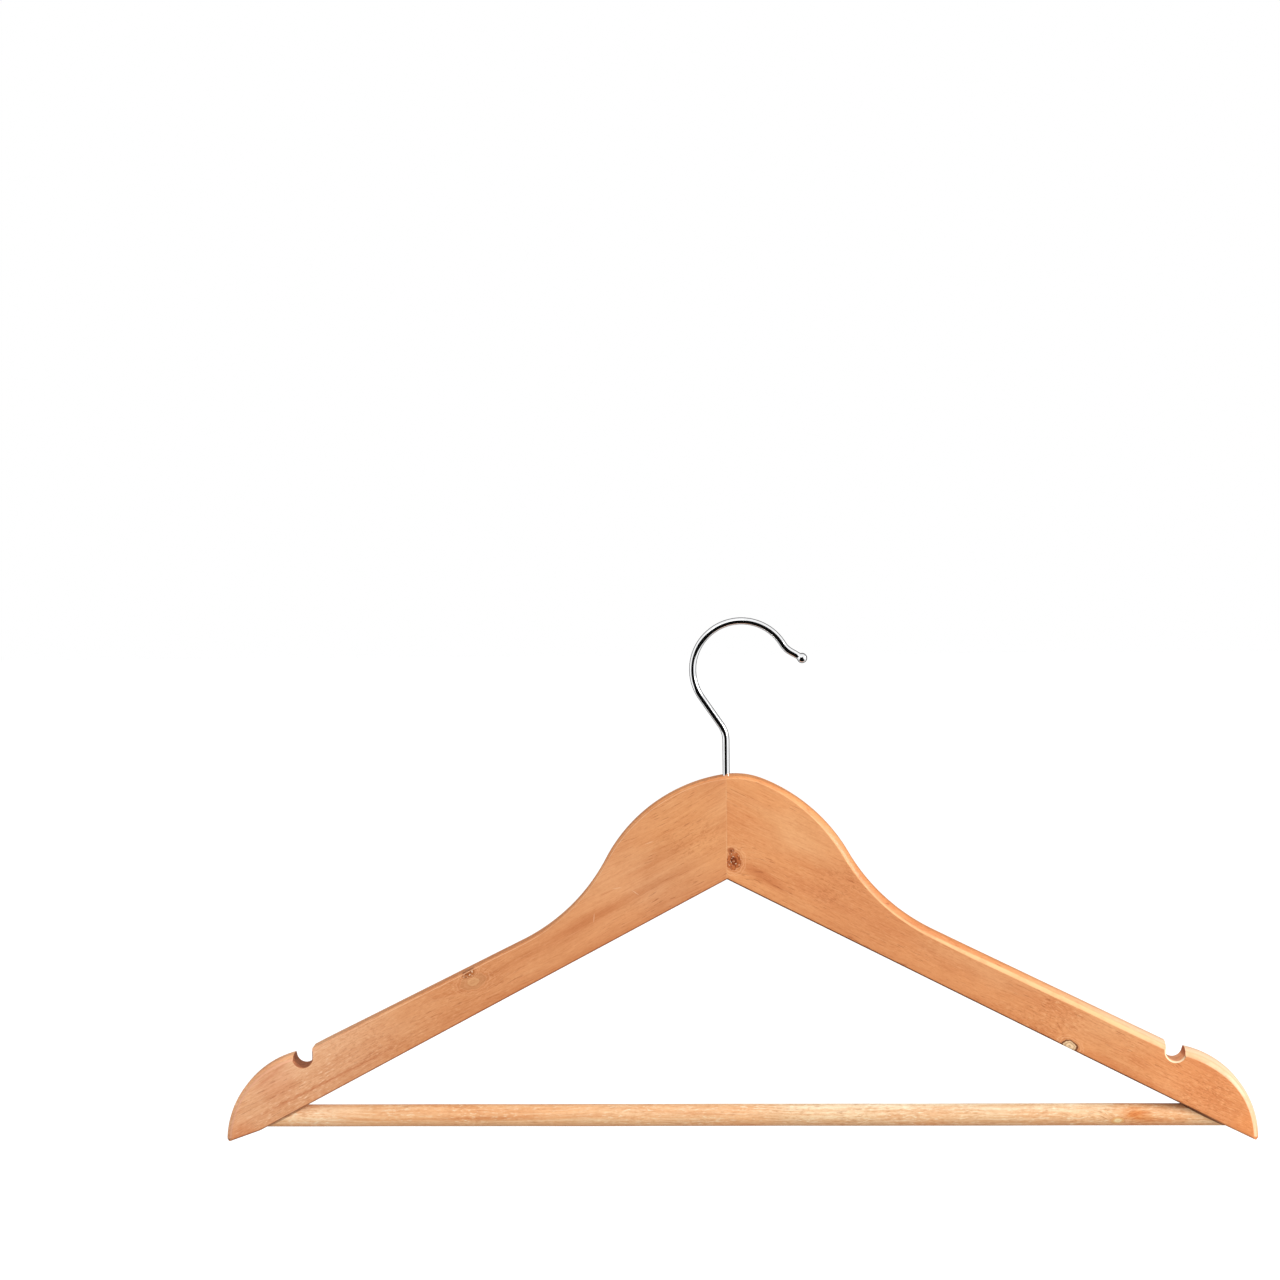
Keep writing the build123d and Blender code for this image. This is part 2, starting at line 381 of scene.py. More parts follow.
def edge_stations():
    """Both edges from tip to tip: points in step with each other, then the full polylines."""
    near_joint = (0, 0.12, 0.3, 0.6, 1.0, 1.6)
    tip_zone = 6
    halves = []
    for arm in (LEFT, RIGHT):
        upper, lower = arm.edges()
        length = lengths(np.diff(upper, axis=0)).sum()
        along = np.linspace(2.4, length - tip_zone, 200)
        near_tip = length - tip_zone * np.linspace(1, 0, 12)[1:] ** 1.5
        shares = np.concatenate((near_joint, along, near_tip)) / length
        halves.append((along_polyline(upper, shares), along_polyline(lower, shares), upper, lower))
    return [np.concatenate((left[::-1], right[1:])) for left, right in zip(*halves)]


def slant(edge, toward):
    """Sine of the angle between each station's line and its edge, at least 0.35."""
    tangent = np.gradient(edge, axis=0)
    tangent /= np.maximum(lengths(tangent), 1e-9)[:, None]
    line = toward / np.maximum(lengths(toward), 1e-9)[:, None]
    cross = tangent[:, 0] * line[:, 1] - tangent[:, 1] * line[:, 0]
    return np.clip(np.abs(cross), 0.35, 1)[:, None]


def face_grid(top, low):
    """Points of the face between the edges, with rows crowded on the rounded edges."""
    across = low - top
    length = lengths(across)
    safe = np.maximum(length, 1e-9)[:, None]
    turns = np.linspace(0, pi / 2 - CREASE, 10)
    share = (1 - np.cos(turns)) / (1 - sin(CREASE))
    reach = roundover(top[:, 0])[:, None]
    # Rows up to the crease, one close past it, and one where the flat face begins
    from_top = np.hstack((reach * share, reach * 1.02, reach + 0.28)) / slant(top, across)
    turns = np.radians(np.linspace(90, 0, 5))
    from_low = LOWER_EASING * np.append(1.6, 1 - np.cos(turns)) / slant(low, across)
    # Near the tips both rounded edges shrink to share what room there is
    crowd = np.minimum(1, 0.7 * safe / (from_top[:, -1:] + from_low[:, :1]))
    from_top, from_low = from_top * crowd, from_low * crowd
    first, last = from_top[:, -1:], safe - from_low[:, :1]
    middle = first + (last - first) * np.linspace(0, 1, 18)[1:-1]
    rows = np.hstack((from_top, middle, safe - from_low)) / safe
    rows[length < 1e-6] = 0
    return top[:, None, :] + rows[..., None] * across[:, None, :]


def make_yoke():
    """Both arms as one solid: rows of quads between the upper and the lower edge."""
    top, low, top_line, low_line = edge_stations()
    grid = face_grid(top, low)
    stations, width = grid.shape[:2]
    flat = grid.reshape(-1, 2)
    x, z = flat[:, 0], flat[:, 1]
    to_top, to_low = distance_to(top_line, flat), distance_to(low_line, flat)
    fall = np.maximum(inset(to_top, roundover(x), CREASE), inset(to_low, LOWER_EASING))
    fall = fall + SEAM_DEPTH * np.exp(-((x - JOINT_X) / SEAM_HALF_WIDTH) ** 2)
    edge_fade = smoothstep(0, 3, np.minimum(to_top, to_low))
    front_y = -HALF_THICKNESS + fall + edge_fade * sanded(x, z)
    back_y = HALF_THICKNESS - fall - edge_fade * sanded(x + 70, z - 40)
    for px, pz, size, depth in PITS:
        gap2 = ((x - px) ** 2 + (z - pz) ** 2) / size**2
        rough = 0.75 + 0.25 * np.sin(x * 4.1) * np.sin(z * 3.7 + 0.6)
        front_y += depth * np.exp(-gap2) * rough
    back_y = np.maximum(back_y, front_y)
    front = np.stack((x, front_y, z), 1)
    back = np.stack((x, back_y, z), 1)
    points = [front, back]
    front_index = np.arange(stations * width).reshape(stations, width)
    back_index = front_index + stations * width
    next_index = 2 * stations * width
    sheets = [front_index, back_index]
    # The walls along both edges, in six steps from front to back
    for column in (0, width - 1):
        edge = front_index[:, column]
        wall = [edge]
        for share in np.linspace(0, 1, 7)[1:-1]:
            points.append(front[edge] + (back[edge] - front[edge]) * share)
            wall.append(np.arange(next_index, next_index + stations))
            next_index += stations
        wall.append(back_index[:, column])
        sheets.append(np.stack(wall, 1))
    faces = []
    for index in sheets:
        quads = np.stack((index[:-1, :-1], index[1:, :-1], index[1:, 1:], index[:-1, 1:]), -1)
        faces += [tuple(q) for q in quads.reshape(-1, 4).tolist()]
    return mesh_object("yoke", np.concatenate(points), faces)


def disc_ring(centre, radius, axis, count=72):
    """A ring of points about a centre. The axis is 0, 1 or 2."""
    angles = np.linspace(0, 2 * pi, count, endpoint=False)
    ring = np.zeros((count, 3))
    ring[:, (axis + 1) % 3] = np.cos(angles) * radius
    ring[:, (axis + 2) % 3] = np.sin(angles) * radius
    return ring + np.array(centre)


def notch_cutter(arm, ease):
    """A round-bottomed slot, open at the top, whose rims are eased at both faces."""
    centre = arm.at(arm.notch_reach, arm.shoulder_height(arm.notch_reach) - NOTCH_CENTRE_DEPTH)
    angles = np.linspace(pi, 2 * pi, 49)
    height = 14.0               # of the slot's open end above the round bottom's centre
    turns = np.radians(np.linspace(0, 80, 7))
    levels = [(HALF_THICKNESS - ease + ease * sin(t), ease * (1 - cos(t))) for t in turns]
    levels.append((HALF_THICKNESS + 2, ease * 1.6))
    levels = [(-y, grow) for y, grow in levels[::-1]] + levels
    rings = []
    for y, grow in levels:
        radius = NOTCH_RADIUS + grow
        bottom = np.stack((np.cos(angles), np.sin(angles)), 1) * radius
        flat = np.concatenate((bottom, [(radius, height), (-radius, height)])) + centre
        rings.append(np.stack((flat[:, 0], np.full(len(flat), y), flat[:, 1]), 1))
    return rings_mesh("cut_notch", rings)


def bar_end_x(arm):
    return arm.at(arm.reach() - BAR_END_INSET, BAR_Z)[0]


def drill_cutters():
    """Holes for the bar, the brads' heads and the hook, as closed solids."""
    cutters = []
    for arm in (LEFT, RIGHT):
        ends = sorted((arm.at(arm.reach() / 2, BAR_Z)[0], bar_end_x(arm)))
        rings = [disc_ring((x, 0, BAR_Z), BAR_RADIUS + BAR_GAP, 0) for x in ends]
        cutters.append(rings_mesh("cut_bar", rings))
        brad_x = arm.at(arm.reach() - BRAD_INSET, BAR_Z)[0]
        depths = (BRAD_RECESS_Y, HALF_THICKNESS + 1)
        rings = [disc_ring((brad_x, y, BAR_Z), BRAD_RECESS_RADIUS, 1, 32) for y in depths]
        cutters.append(rings_mesh("cut_brad", rings))
    above, below = -70, -120    # clear of the wood
    steps = (
        (above, SHANK_BORE_RADIUS), (COUNTERBORE_TOP_Z, SHANK_BORE_RADIUS),
        (COUNTERBORE_TOP_Z, COUNTERBORE_RADIUS), (below, COUNTERBORE_RADIUS),
    )
    cutters.append(rings_mesh("cut_hook", [disc_ring((JOINT_X, 0, z), r, 2, 64) for z, r in steps]))
    return cutters


def left_zone():
    """A prism that holds everything on the left arm's side of the finger joint."""
    far, wide, above = -300, 20, 20
    plan = [
        (far, -wide), (JOINT_X, -wide), (JOINT_X, -FINGER_THICKNESS),
        (JOINT_X + FINGER_LENGTH, -FINGER_THICKNESS), (JOINT_X + FINGER_LENGTH, 0),
        (JOINT_X - FINGER_LENGTH, 0), (JOINT_X - FINGER_LENGTH, FINGER_THICKNESS),
        (JOINT_X, FINGER_THICKNESS), (JOINT_X, wide), (far, wide),
    ]
    return rings_mesh("zone", [np.array([(x, y, z) for x, y in plan], float) for z in (far, above)])


def make_arms():
    """The two arms, shaped as one yoke, then notched, drilled and parted at the joint."""
    yoke = make_yoke()
    notches = [notch_cutter(LEFT, ease=0.42), notch_cutter(RIGHT, ease=0.75)]
    cutters = joined("cutters", notches + drill_cutters())
    bare = cut_wood()
    cutters.data.materials.append(bare)
    yoke.data.materials.append(left_arm_wood())
    boolean(yoke, cutters, "DIFFERENCE")
    zone = left_zone()
    zone.data.materials.append(bare)
    left = boolean(yoke, zone, "INTERSECT", "arm_left_shaped")
    right = boolean(yoke, zone, "DIFFERENCE", "arm_right_shaped")
    for obj in (yoke, cutters, zone):
        bpy.data.objects.remove(obj)
    for obj, node in ((left, "arm_left"), (right, "arm_right")):
        shade(obj)
        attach(obj, "frame")
        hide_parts(node)
    right.data.materials[0] = right_arm_wood()


def make_bar():
    """The turned trouser bar, very slightly uneven, with chamfered ends inside its holes."""
    start, end = bar_end_x(LEFT), bar_end_x(RIGHT)
    along = np.linspace(start + 2, end - 2, 190)
    stations = [start, start + BAR_END_CHAMFER, *along, end - BAR_END_CHAMFER, end]
    sides = 64
    angles = np.linspace(0, 2 * pi, sides, endpoint=False)
    rings = []
    for x in stations:
        radius = BAR_RADIUS - (BAR_END_CHAMFER if x in (start, end) else 0)
        ring = disc_ring((x, 0, BAR_Z), radius, 0, sides)
        wave = 0.025 * np.sin(x / 23.0 + angles) + 0.015 * np.sin(x / 9.0 + 2 * angles)
        ring[:, 1] += np.cos(angles) * wave
        ring[:, 2] += np.sin(angles) * wave
        rings.append(ring)
    bar = rings_mesh("trouser_bar_turned", rings)
    shade(bar, 40)
    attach(bar, "frame")
    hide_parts("trouser_bar")
    return bar


def hook_line():
    """The wire's centreline in X-Z, from the tail up to the ball, and its last direction."""
    centre = np.array((0, WIRE_RADIUS - CROWN_CENTRELINE_RADIUS))
    lean = radians(LEG_ANGLE)
    leg_top = centre - np.array((cos(lean), sin(lean))) * CROWN_CENTRELINE_RADIUS
    down_leg = np.array((sin(lean), -cos(lean)))
    corner = leg_top + down_leg * (JOINT_X - leg_top[0]) / sin(lean)
    bend_reach = SHANK_BEND_RADIUS * tan(lean / 2)
    shank_top = corner - np.array((0, bend_reach))
    leg_low = corner - down_leg * bend_reach
    bend_centre = shank_top - np.array((SHANK_BEND_RADIUS, 0))
    rise = radians(CROWN_END_ANGLE)
    crown_out = np.array((cos(rise), sin(rise)))
    crown_end = centre + crown_out * CROWN_CENTRELINE_RADIUS
    nose_centre = crown_end + crown_out * NOSE_BEND_RADIUS
    droop = radians(NOSE_ANGLE)
    nose_along = np.array((cos(droop), -sin(droop)))
    nose_start = nose_centre - np.array((sin(droop), cos(droop))) * NOSE_BEND_RADIUS
    crown_top = centre + np.array((0, CROWN_CENTRELINE_RADIUS))
    nose_end = nose_start + nose_along * NOSE_LENGTH
    line = np.concatenate((
        np.linspace((JOINT_X, TAIL_Z), shank_top, 24)[:-1],
        arc_points(bend_centre, shank_top, leg_low)[:-1],
        np.linspace(leg_low, leg_top, 24)[:-1],
        arc_points(centre, leg_top, crown_top)[:-1],
        arc_points(centre, crown_top, crown_end)[:-1],
        arc_points(nose_centre, crown_end, nose_start)[:-1],
        np.linspace(nose_start, nose_end, 9),
    ))
    return line, nose_along


def make_hook():
    """The bent wire with a ball upset on its end, as one smooth tube."""
    line, last = hook_line()
    tangents = np.gradient(line, axis=0)
    tangents /= lengths(tangents)[:, None]
    tangents[-1] = last
    radii = np.full(len(line), WIRE_RADIUS)
    radii[0] -= TAIL_CHAMFER
    line = np.insert(line, 1, line[0] + (0, TAIL_CHAMFER), axis=0)
    tangents = np.insert(tangents, 1, tangents[0], axis=0)
    radii = np.insert(radii, 1, WIRE_RADIUS)
    # The ball takes the place of the last points, which lie inside it
    end = line[-1]
    keep = len(line) - 4
    stops, sizes = [], []
    neck = sqrt(BALL_RADIUS**2 - WIRE_RADIUS**2)
    start_angle = pi - atan2(WIRE_RADIUS, neck)
    for angle in np.linspace(start_angle, 0.03, 22):
        stops.append(end + last * BALL_RADIUS * cos(angle))
        sizes.append(BALL_RADIUS * sin(angle))
    line = np.concatenate((line[:keep], stops))
    tangents = np.concatenate((tangents[:keep], [last] * len(stops)))
    radii = np.concatenate((radii[:keep], sizes))
    angles = np.linspace(0, 2 * pi, 40, endpoint=False)
    rings = []
    for (x, z), (tx, tz), radius in zip(line, tangents, radii):
        side = np.cos(angles) * radius
        rings.append(np.stack((x - tz * side, np.sin(angles) * radius, z + tx * side), 1))
    hook = rings_mesh("swivel_hook_wire", rings)
    shade(hook, 50)
    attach(hook, "hook")
    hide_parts("swivel_hook")
    return hook


# ---------------------------------------------------------------- materials
class Nodes:
    """Adds nodes to a tree. Values are numbers, tuples or sockets."""

    def __init__(self, tree):
        self.tree = tree
        tree.nodes.clear()

    def put(self, socket, value):
        if isinstance(value, bpy.types.NodeSocket):
            self.tree.links.new(value, socket)
        else:
            socket.default_value = value

    def node(self, kind, inputs=(), output=0, **settings):
        """Adds one node and returns one of its outputs."""
        made = self.tree.nodes.new("ShaderNode" + kind)
        for key, value in settings.items():
            setattr(made, key, value)
        for key, value in dict(inputs).items():
            self.put(made.inputs[key], value)
        return made.outputs[output]

    def math(self, operation, a, b=0.0, c=0.0):
        return self.node("Math", {0: a, 1: b, 2: c}, operation=operation)

    def times(self, a, b):
        return self.math("MULTIPLY", a, b)

    def plus(self, a, b):
        return self.math("ADD", a, b)

    def absolute(self, a):
        return self.math("ABSOLUTE", a)

    def ramp(self, value, low, high, to_low=0.0, to_high=1.0):
        """A smooth step of a value between two levels."""
        inputs = {0: value, 1: low, 2: high, 3: to_low, 4: to_high}
        return self.node("MapRange", inputs, interpolation_type="SMOOTHSTEP", clamp=True)

    def vector(self, operation, a, b):
        return self.node("VectorMath", {0: a, 1: b}, operation=operation)

    def length(self, vector):
        return self.node("VectorMath", {0: vector}, "Value", operation="LENGTH")

    def turned(self, vector, degrees):
        """A vector turned about Y."""
        inputs = {"Vector": vector, "Rotation": (0, radians(degrees), 0)}
        return self.node("Mapping", inputs, vector_type="POINT")

    def grey(self, value):
        return self.node("CombineXYZ", {0: value, 1: value, 2: value})

    def axes(self, vector):
        """The X, Y and Z of a vector."""
        return tuple(self.node("SeparateXYZ", {0: vector}).node.outputs)

    def noise(self, place, scale, detail=2.0, roughness=0.5, distortion=0.0):
        """Noise from 0 to 1 with a scale for each axis, in steps per millimetre."""
        moved = self.vector("MULTIPLY", place, scale)
        inputs = {"Vector": moved, "Scale": 1.0, "Detail": detail,
                  "Roughness": roughness, "Distortion": distortion}
        return self.node("TexNoise", inputs)

    def mix(self, factor, a, b, blend="MIX"):
        inputs = {0: factor, 6: a, 7: b}
        return self.node("Mix", inputs, 2, data_type="RGBA", blend_type=blend)

    def multiply(self, colour, tint):
        return self.mix(1.0, colour, tint + (1.0,), "MULTIPLY")

    def millimetres(self):
        """The place on the object, in the CAD model's frame."""
        return self.vector("MULTIPLY", self.node("TexCoord", (), "Object"), (1 / MM, 1 / MM, 1 / MM))

    def bump(self, height, strength, distance):
        return self.node("Bump", {"Height": height, "Strength": strength, "Distance": distance})


class Shader(Nodes):
    """Builds one material's nodes."""

    def __init__(self, name):
        self.material = bpy.data.materials.new(name)
        self.material.use_nodes = True
        super().__init__(self.material.node_tree)
        output = self.tree.nodes.new("ShaderNodeOutputMaterial")
        self.surface = self.tree.nodes.new("ShaderNodeBsdfPrincipled")
        self.tree.links.new(self.surface.outputs[0], output.inputs["Surface"])

    def tint(self, factor, tint):
        """Multiplies the colour so far by a tint where the factor is high."""
        self.colour = self.mix(factor, self.colour, self.multiply(self.colour, tint))

    def blend(self, factor, colour):
        """Moves the colour so far to another where the factor is high."""
        self.colour = self.mix(factor, self.colour, colour)

    def finish(self, **values):
        """Sets sockets of the surface by name, spaces written as underscores."""
        for key, value in values.items():
            self.put(self.surface.inputs[key.replace("_", " ")], value)
        return self.material


def srgb(r, g, b):
    """A linear colour from display values of 0 to 255."""
    def linear(v):
        v /= 255
        return v / 12.92 if v <= 0.04045 else ((v + 0.055) / 1.055) ** 2.4
    return (linear(r), linear(g), linear(b), 1.0)


def spot(s, x, z, wide, high, turn, wobble, amount=1.1):
    """Distance from a point in X-Z, in radii of a turned ellipse, with an irregular rim."""
    turned = s.turned(s.vector("ADD", s.place, (-x, 0, -z)), turn)
    away = s.length(s.vector("MULTIPLY", turned, (1 / wide, 0, 1 / high)))
    return s.plus(away, s.times(s.plus(wobble, -0.5), amount))


def wood(name, slope, shift, base, dark, pale, fibre_tint, dash, knots):
    """Light hardwood, whose grain runs along X, turned up by a slope in degrees.

    The shift moves the pattern, so that no two boards are alike. The dashes' strength goes
    from dash's first value near the hook to its second toward the tips. Each knot is a centre
    in X-Z, two radii and a turn.
    """
    s = Shader(name)
    s.place = s.millimetres()
    s.x, s.y, s.z = s.axes(s.place)
    s.from_middle = s.absolute(s.x)
    s.grain = s.turned(s.vector("ADD", s.place, (shift, shift * 0.3, -shift * 0.7)), slope)
    # Slow wander of the fibres, and the way they part round the knots
    wander = s.noise(s.grain, (0.011, 0.02, 0.035))
    lift = s.times(s.plus(wander, -0.5), 9.0)
    rim = s.noise(s.place, (0.5, 0.3, 0.5), 3.0, 0.6)
    s.knots = []
    for x, z, wide, high, turn in knots:
        gap = spot(s, x, z, wide, high, turn, rim, 0.65)
        s.knots.append(gap)
        lift = s.plus(lift, s.ramp(gap, 0.4, 4.5, 3.0, 0.0))
    s.warped = s.vector("ADD", s.grain, s.node("CombineXYZ", {2: lift}))
    # Broad bands and patches
    bands = s.noise(s.warped, (0.006, 0.03, 0.16), 3.0, 0.55)
    s.colour = s.mix(s.ramp(bands, 0.34, 0.66), base, dark)
    patches = s.noise(s.grain, (0.016, 0.02, 0.05))
    s.blend(s.ramp(patches, 0.45, 0.75, 0.0, 0.6), pale)
    # Fibres, dark hairs and open pores
    fibres = s.noise(s.warped, (0.03, 0.5, 1.3), 4.0, 0.65)
    s.tint(s.ramp(fibres, 0.36, 0.66, 0.0, 0.8), fibre_tint)
    hairs = s.noise(s.warped, (0.09, 0.9, 2.1), 3.0, 0.6)
    s.tint(s.ramp(hairs, 0.54, 0.74, 0.0, 0.8), (0.88, 0.76, 0.68))
    pore_field = s.noise(s.warped, (0.17, 0.9, 2.0))
    pore_where = s.noise(s.grain, (0.02, 0.05, 0.06), 1.0)
    pores = s.times(s.ramp(pore_field, 0.62, 0.72), s.ramp(pore_where, 0.36, 0.6))
    s.tint(s.times(pores, 0.8), (0.66, 0.50, 0.42))
    # Fine specks, blotches and pale hairs
    specks = s.noise(s.grain, (0.7, 0.9, 2.2), 2.0, 0.7)
    s.tint(s.ramp(specks, 0.42, 0.72, 0.0, 0.6), (0.90, 0.82, 0.76))
    blotches = s.noise(s.grain, (0.10, 0.1, 0.2), 3.0, 0.6)
    s.tint(s.ramp(blotches, 0.42, 0.68, 0.0, 0.8), (0.94, 0.90, 0.86))
    pale_hairs = s.noise(s.warped, (0.07, 0.7, 1.7), 3.0, 0.6)
    s.blend(s.ramp(pale_hairs, 0.56, 0.76, 0.0, 0.4), pale)
    # Short dashes, some paler and some darker, in uneven patches
    dashes = s.noise(s.grain, (0.38, 1.0, 1.7), 2.0, 0.6)
    uneven = s.ramp(s.noise(s.place, (0.035, 0.03, 0.035)), 0.35, 0.62, 0.35, 1.0)
    amount = s.times(uneven, s.ramp(s.from_middle, 70, 150, *dash))
    s.blend(s.times(s.ramp(dashes, 0.54, 0.7, 0.0, 0.8), amount), pale)
    s.tint(s.times(s.ramp(dashes, 0.48, 0.32), amount), (0.86, 0.74, 0.66))
    s.height = s.plus(s.times(fibres, 0.5), s.times(pores, -0.8))
    return s


def outward(s, arm):
    """Distance from the glue line toward an arm's tip."""
    return s.math("MULTIPLY_ADD", s.x, float(arm.side), -JOINT_X * arm.side)


def above_lower_edge(s, arm):
    """Height over an arm's lower edge."""
    rise = s.math("MULTIPLY_ADD", outward(s, arm), tan(radians(arm.lower_angle)), -APEX_Z)
    return s.plus(s.z, rise)


def arm_edges(s, arm, crease_highlight_near, crease_highlight_far, top_light_and_shade_tint, under_shade_tint):
    """What the arms share: edges painted lighter or darker than the faces as painted light and shade,
    and the glue line with a painted highlight.

    crease_highlight_near and crease_highlight_far say how far the painted highlight along the sanded
    crease runs onto the rounded edge, near the hook and toward the tip. s.crease keeps where it is, for
    paint_crease_highlight.
    """
    _, normal_y, normal_z = s.axes(s.node("TexCoord", (), "Normal"))
    facing = s.absolute(normal_y)
    # Where the painted highlight goes: a band along the sanded crease, broken up unevenly
    band = s.ramp(s.from_middle, 45, 120, crease_highlight_near, crease_highlight_far)
    crease = s.times(s.ramp(facing, 0.985, 0.945), s.ramp(facing, band, s.plus(band, 0.13)))
    crease = s.times(crease, s.ramp(normal_z, -0.12, -0.02))
    uneven = s.ramp(s.noise(s.place, (0.12, 0.1, 0.12), 3.0, 0.6), 0.25, 0.6, 0.45, 1.0)
    s.crease = s.times(crease, uneven)
    # Painted light and shade on the top edges: tinted lighter or darker for each arm, as light falls on
    # them
    top = s.times(s.ramp(facing, 0.85, 0.5), s.ramp(normal_z, -0.1, 0.2))
    s.tint(top, top_light_and_shade_tint)
    # Painted shade on the underside: darkest at the front, and not at the right tip
    under_shade = s.times(s.ramp(normal_z, -0.12, -0.5), s.ramp(s.y, 0, 4, 1.0, 0.3))
    under_shade = s.times(under_shade, s.ramp(s.x, 192, 206, 1.0, 0.3))
    s.tint(under_shade, under_shade_tint)
    # Painted highlight: the top edge painted pale toward the right tip
    tip_highlight = s.ramp(s.x, 110, 195, 0.0, 0.7)
    s.blend(s.times(top, tip_highlight), srgb(250, 220, 184))
    # A ragged, darker strip along the lower edge of the face
    rag = s.times(s.noise(s.warped, (0.03, 0.05, 0.3), 3.0), 5.0)
    s.tint(s.ramp(s.plus(above_lower_edge(s, arm), rag), 2.4, 6.5, 0.55, 0.0), (0.90, 0.78, 0.66))
    # The glue line, painted as a pale highlight line, broken in places
    near = s.absolute(s.plus(s.x, -JOINT_X))
    broken = s.ramp(s.noise(s.place, (0.5, 0.3, 0.16)), 0.35, 0.6, 0.35, 1.0)
    s.blend(s.times(s.ramp(near, 0.06, 0.28, 0.32, 0.0), broken), srgb(246, 200, 150))


def paint_crease_highlight(s, near, far):
    """Paints a highlight on the creases that arm_edges found, in one colour near the hook and another
    toward the tip.
    """
    pale = s.mix(s.ramp(s.from_middle, 145, 215), near, far)
    s.blend(s.times(s.crease, s.ramp(s.from_middle, 0, 50, 0.5, 0.85)), pale)


def knot(s, gap, core, ring, inside, strength, flecks, cracked=0.7):
    """A core inside a ring, with cracks and pale flecks, and a halo in the wood round it.

    The gap is the distance from the knot's centre in radii. The ring begins at the radius
    inside. A higher level of flecks leaves fewer of them.
    """
    body = s.mix(s.ramp(gap, inside - 0.12, inside + 0.08), core, ring)
    year_rings = s.ramp(s.math("SINE", s.times(gap, 13.0)), -0.2, 1.0, 0.0, 0.45)
    body = s.mix(year_rings, body, ring)
    cracks = s.noise(s.place, (0.9, 1.0, 0.8), 3.0, 0.7)
    body = s.mix(s.ramp(cracks, 0.5, 0.4, 0.0, cracked), body, s.multiply(body, (0.4, 0.3, 0.25)))
    fleck = s.noise(s.place, (1.1, 1.0, 1.25), 2.0, 0.6)
    body = s.mix(s.ramp(fleck, flecks, flecks + 0.04), body, (0.95, 0.68, 0.44, 1))
    s.tint(s.ramp(gap, 0.9, 1.7, 0.75 * strength, 0.0), (0.80, 0.64, 0.52))
    ripples = s.ramp(s.math("SINE", s.times(gap, 19.0)), 0.1, 0.9)
    ripples = s.times(ripples, s.ramp(gap, 2.1, 1.5, 0.0, 0.5))
    s.blend(s.times(ripples, strength), srgb(252, 190, 138))
    s.blend(s.ramp(gap, 1.0, 1.14, strength, 0.0), body)


def streak(s, x, z, wide, high, turn, tint, strength):
    """A long soft streak of darker wood."""
    ragged = s.noise(s.warped, (0.04, 0.05, 0.8), 3.0, 0.6)
    s.tint(s.ramp(spot(s, x, z, wide, high, turn, ragged), 0.1, 1.15, strength, 0.0), tint)


def glow(s, x, z, near, far, tint):
    """A broad tinted area round a point in X-Z: full within near, gone beyond far."""
    flat = s.vector("MULTIPLY", s.vector("ADD", s.place, (-x, 0, -z)), (1, 0, 1))
    s.tint(s.ramp(s.length(flat), near, far, 1.0, 0.0), tint)


def mottle(s, x, z, size):
    """A patch of short curly dashes."""
    curls = s.noise(s.grain, (0.45, 0.4, 1.1), 3.0, 0.7, 0.8)
    where = s.ramp(spot(s, x, z, size, size * 0.7, 25, curls, 0.5), 0.5, 1.1, 1.0, 0.0)
    s.tint(s.times(where, s.ramp(curls, 0.5, 0.62, 0.0, 0.8)), (0.84, 0.74, 0.68))


def scratch(s, x, z, turn):
    """A tiny pale scratch in the lacquer."""
    gap = spot(s, x, z, 1.9, 0.16, turn, s.noise(s.place, (0.8, 0.3, 0.8)), 0.6)
    s.blend(s.ramp(gap, 0.7, 1.2, 0.5, 0.0), srgb(250, 205, 165))


def lacquered(s, roughness):
    """The finished wood, with its grain just felt through a thin lacquer."""
    shine = s.plus(roughness, s.times(s.noise(s.place, (0.05, 0.05, 0.05)), 0.1))
    return s.finish(
        Base_Color=s.colour, Roughness=shine, Normal=s.bump(s.height, 0.22, 0.00008), IOR=1.48,
        Coat_Weight=0.22, Coat_Roughness=0.2, Coat_IOR=1.5, Specular_IOR_Level=0.3,
    )


